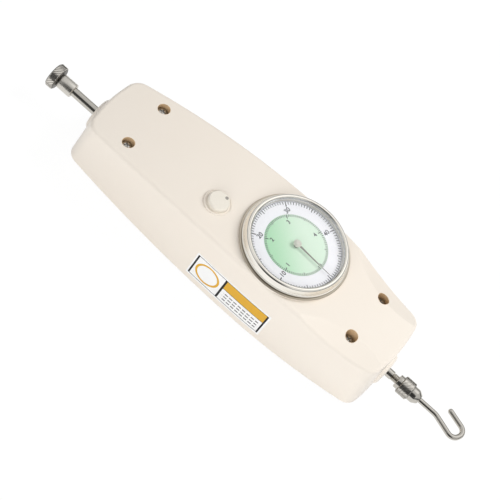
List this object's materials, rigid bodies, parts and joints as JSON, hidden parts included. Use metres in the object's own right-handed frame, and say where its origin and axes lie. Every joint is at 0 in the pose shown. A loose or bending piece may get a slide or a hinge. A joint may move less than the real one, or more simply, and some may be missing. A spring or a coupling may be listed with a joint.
{
  "type": "force gauge",
  "caption": "Analogue push and pull force gauge: cream casing, round dial with turning bezel, tension hook and push head on one sprung measuring shaft.",
  "frame": {"origin": "centre of the four stand holes, on the flat back of the casing", "axes": "+X along the measuring shaft from the push head towards the hook, +Z out of the dial"},
  "size_m": [0.2798, 0.06, 0.0507],
  "materials": {
    "casing_enamel": "semi-gloss enamel",
    "screw_steel": "nickel plated",
    "insert_brass": "turned",
    "chassis_steel": "zinc plated",
    "bush_bronze": "sintered bronze",
    "spring_steel": "bright wire",
    "brass_plate": "satin",
    "gear_brass": "cut and polished",
    "hardened_steel": "ground",
    "dial_base_bronze": "bronze-grey anodised",
    "bezel_chrome": "satin chrome",
    "dial_paint": "matt printed",
    "pointer_finish": "satin",
    "crystal_clear": "clear",
    "button_enamel": "satin",
    "index_black": "flat",
    "shaft_steel": "polished stainless"
  },
  "bodies": {
    "root": {"rear_case": "casing_enamel", "front_cover": "casing_enamel", "cover_screws": "screw_steel", "stand_inserts": "insert_brass", "chassis": "chassis_steel", "chassis_screws": "screw_steel", "push_bush": "bush_bronze", "hook_bush": "bush_bronze", "load_spring": "spring_steel", "lower_plate": "brass_plate", "upper_plate": "brass_plate", "plate_posts": "chassis_steel", "movement_pillars": "insert_brass", "movement_screws": "screw_steel", "hairspring": "insert_brass", "pawl_post": "hardened_steel", "dial_base": "dial_base_bronze", "dial_base_screws": "screw_steel", "bezel_snap_ring": "spring_steel", "mode_collar": "bezel_chrome"},
    "shaft": {"measuring_shaft": "shaft_steel", "spring_collar": "chassis_steel", "stop_collar": "chassis_steel", "rack_carrier": "chassis_steel", "rack": "hardened_steel", "rack_screws": "screw_steel", "push_head": "shaft_steel", "hook_adaptor": "shaft_steel", "hook": "shaft_steel"},
    "counter_gear": {"counter_arbor": "hardened_steel", "rack_pinion": "gear_brass", "counter_wheel": "gear_brass"},
    "pointer_arbor": {"centre_arbor": "hardened_steel", "centre_pinion": "gear_brass", "ratchet_wheel": "gear_brass", "pointer": "pointer_finish", "pointer_cap": "pointer_finish"},
    "bezel_body": {"bezel": "bezel_chrome", "dial_plate": "dial_paint", "crystal": "crystal_clear"},
    "mode_selector": {"mode_sleeve": "bezel_chrome", "mode_cam": "hardened_steel", "button_spring": "spring_steel"},
    "mode_plunger": {"mode_button": "button_enamel", "button_index": "index_black", "stem_clip": "spring_steel"},
    "pawl": {"peak_pawl": "hardened_steel"}
  },
  "joints": [
    {"name": "shaft_slide", "type": "slide", "parent": "root", "child": "shaft", "axis": [1, 0, 0], "range_m": [0, 0.01], "stiffness_N_per_m": 5000, "springref_m": -0.0002, "deforming": ["load_spring"]},
    {"name": "counter_spin", "type": "hinge", "parent": "root", "child": "counter_gear", "pos_m": [0.023, 0.01175, 0.022], "axis": [0, 0, 1], "range_deg": [0, 152.79]},
    {"name": "pointer_spin", "type": "hinge", "parent": "root", "child": "pointer_arbor", "pos_m": [0.023, 0, 0.022], "axis": [0, 0, 1], "range_deg": [-360.14, 0]},
    {"name": "bezel_turn", "type": "hinge", "parent": "root", "child": "bezel_body", "pos_m": [0.023, 0, 0.045], "axis": [0, 0, 1], "continuous": true},
    {"name": "mode_turn", "type": "hinge", "parent": "root", "child": "mode_selector", "pos_m": [-0.02, -0.0105, 0.038], "axis": [0, 0, 1], "range_deg": [0, 90]},
    {"name": "mode_press", "type": "slide", "parent": "mode_selector", "child": "mode_plunger", "axis": [0, 0, -1], "range_m": [0, 0.002], "stiffness_N_per_m": 800, "springref_m": -0.001, "deforming": ["button_spring"]},
    {"name": "pawl_swing", "type": "hinge", "parent": "root", "child": "pawl", "pos_m": [0.008, -0.0085, 0.036], "axis": [0, 0, 1], "range_deg": [0, 2.5]}
  ],
  "couplings": [
    {"joint": "counter_spin", "follows": "shaft_slide", "rad_per_m": 266.67},
    {"joint": "pointer_spin", "follows": "shaft_slide", "rad_per_m": -628.57},
    {"joint": "pawl_swing", "follows": "mode_turn", "ratio": 0.0272}
  ]
}
